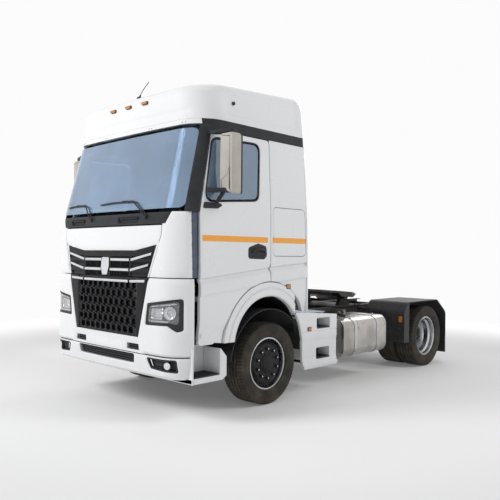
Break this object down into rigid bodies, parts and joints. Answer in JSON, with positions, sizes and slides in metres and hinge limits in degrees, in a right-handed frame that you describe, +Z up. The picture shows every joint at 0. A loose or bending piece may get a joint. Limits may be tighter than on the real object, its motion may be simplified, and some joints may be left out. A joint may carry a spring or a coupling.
{
  "type": "semi truck tractor unit",
  "caption": "Two-axle cab-over tractor unit with high-roof sleeper cab, steering, opening doors, front hatch and rocking coupling plate.",
  "frame": {"origin": "on the ground under the middle of the whole truck", "axes": "+Z up, -Y forward, +X to the truck's left side"},
  "size_m": [3, 5.6928, 3.7184],
  "materials": {
    "chassis_black": "satin chassis paint",
    "axle_grey": "painted casting",
    "air_spring_rubber": "matt rubber",
    "radiator_metal": "finned core",
    "tank_aluminium": "brushed",
    "strap_steel": "stainless band",
    "cab_white": "gloss paint",
    "black_plastic": "grained",
    "grille_black": "mesh",
    "bright_strip": "polished",
    "lamp_clear": "clear lens",
    "lamp_red": "red lens",
    "lamp_amber": "amber lens",
    "window_glass": "tinted",
    "silencer_steel": "pressed sheet",
    "trim_grey": "grained",
    "wheel_rim_black": "stitched",
    "seat_fabric": "woven",
    "bunk_fabric": "woven",
    "rim_steel": "brushed",
    "tyre_rubber": "matt",
    "coupling_steel": "greased"
  },
  "bodies": {
    "chassis": {"frame": "chassis_black", "front_axle": "chassis_black", "leaf_springs": "chassis_black", "rear_axle": "axle_grey", "air_springs": "air_spring_rubber", "driveline": "chassis_black", "radiator": "radiator_metal", "fuel_tank": "tank_aluminium", "tank_straps": "strap_steel", "side_boxes": "cab_white", "silencer_box": "silencer_steel", "battery_box": "black_plastic", "rear_mudguards": "black_plastic", "tail_lamps": "lamp_red", "catwalk": "chassis_black", "coupling_base": "chassis_black", "bumper": "cab_white", "lower_grille": "grille_black", "lower_blade": "bright_strip", "front_lamps": "lamp_clear", "entry_steps": "cab_white", "arch_liners": "black_plastic", "arch_flares": "cab_white", "cab_body": "cab_white", "windscreen": "window_glass", "cowl": "black_plastic", "corner_panels": "cab_white", "roof_band": "black_plastic", "roof_cap": "cab_white", "marker_lamps": "lamp_amber", "aerial": "black_plastic", "dashboard": "trim_grey", "steering_wheel": "wheel_rim_black", "seats": "seat_fabric", "bunk": "bunk_fabric", "wipers": "black_plastic"},
    "coupling": {"coupling_plate": "coupling_steel"},
    "hatch": {"hatch": "cab_white", "upper_grille": "bright_strip"},
    "tie_rod": {"tie_rod": "axle_grey"},
    "door_left": {"door_left": "cab_white", "door_glass_left": "window_glass", "mirror_left": "cab_white"},
    "knuckle_left": {"knuckle_left": "axle_grey"},
    "front_wheel_left": {"front_rim_left": "rim_steel", "front_tyre_left": "tyre_rubber"},
    "rear_wheels_left": {"rear_rims_left": "rim_steel", "rear_tyres_left": "tyre_rubber"},
    "door_right": {"door_right": "cab_white", "door_glass_right": "window_glass", "mirror_right": "cab_white"},
    "knuckle_right": {"knuckle_right": "axle_grey"},
    "front_wheel_right": {"front_rim_right": "rim_steel", "front_tyre_right": "tyre_rubber"},
    "rear_wheels_right": {"rear_rims_right": "rim_steel", "rear_tyres_right": "tyre_rubber"}
  },
  "joints": [
    {"name": "steer_left", "type": "hinge", "parent": "chassis", "child": "knuckle_left", "pos_m": [0.835, -1.42, 0.465], "axis": [0, 0, 1], "range_deg": [-38, 38]},
    {"name": "steer_right", "type": "hinge", "parent": "chassis", "child": "knuckle_right", "pos_m": [-0.835, -1.42, 0.465], "axis": [0, 0, 1], "range_deg": [-38, 38]},
    {"name": "tie_rod_pivot", "type": "hinge", "parent": "knuckle_left", "child": "tie_rod", "pos_m": [0.835, -1.22, 0.3307], "axis": [0, 0, 1], "range_deg": [-38, 38]},
    {"name": "front_wheel_left_spin", "type": "hinge", "parent": "knuckle_left", "child": "front_wheel_left", "pos_m": [1.03, -1.42, 0.465], "axis": [1, 0, 0], "continuous": true},
    {"name": "rear_wheels_left_spin", "type": "hinge", "parent": "chassis", "child": "rear_wheels_left", "pos_m": [0.9275, 2.18, 0.465], "axis": [1, 0, 0], "continuous": true},
    {"name": "door_left_hinge", "type": "hinge", "parent": "chassis", "child": "door_left", "pos_m": [1.238, -2.515, 0], "axis": [0, 0, -1], "range_deg": [0, 75]},
    {"name": "front_wheel_right_spin", "type": "hinge", "parent": "knuckle_right", "child": "front_wheel_right", "pos_m": [-1.03, -1.42, 0.465], "axis": [1, 0, 0], "continuous": true},
    {"name": "rear_wheels_right_spin", "type": "hinge", "parent": "chassis", "child": "rear_wheels_right", "pos_m": [-0.9275, 2.18, 0.465], "axis": [1, 0, 0], "continuous": true},
    {"name": "door_right_hinge", "type": "hinge", "parent": "chassis", "child": "door_right", "pos_m": [-1.238, -2.515, 0], "axis": [0, 0, 1], "range_deg": [0, 75]},
    {"name": "hatch_hinge", "type": "hinge", "parent": "chassis", "child": "hatch", "pos_m": [0, -2.78667, 1.986], "axis": [-1, 0, 0], "range_deg": [0, 70]},
    {"name": "coupling_rock", "type": "hinge", "parent": "chassis", "child": "coupling", "pos_m": [0, 1.18, 1.085], "axis": [1, 0, 0], "range_deg": [0, 15]}
  ],
  "couplings": [
    {"joint": "steer_right", "follows": "steer_left", "ratio": 1},
    {"joint": "tie_rod_pivot", "follows": "steer_left", "ratio": -1}
  ]
}
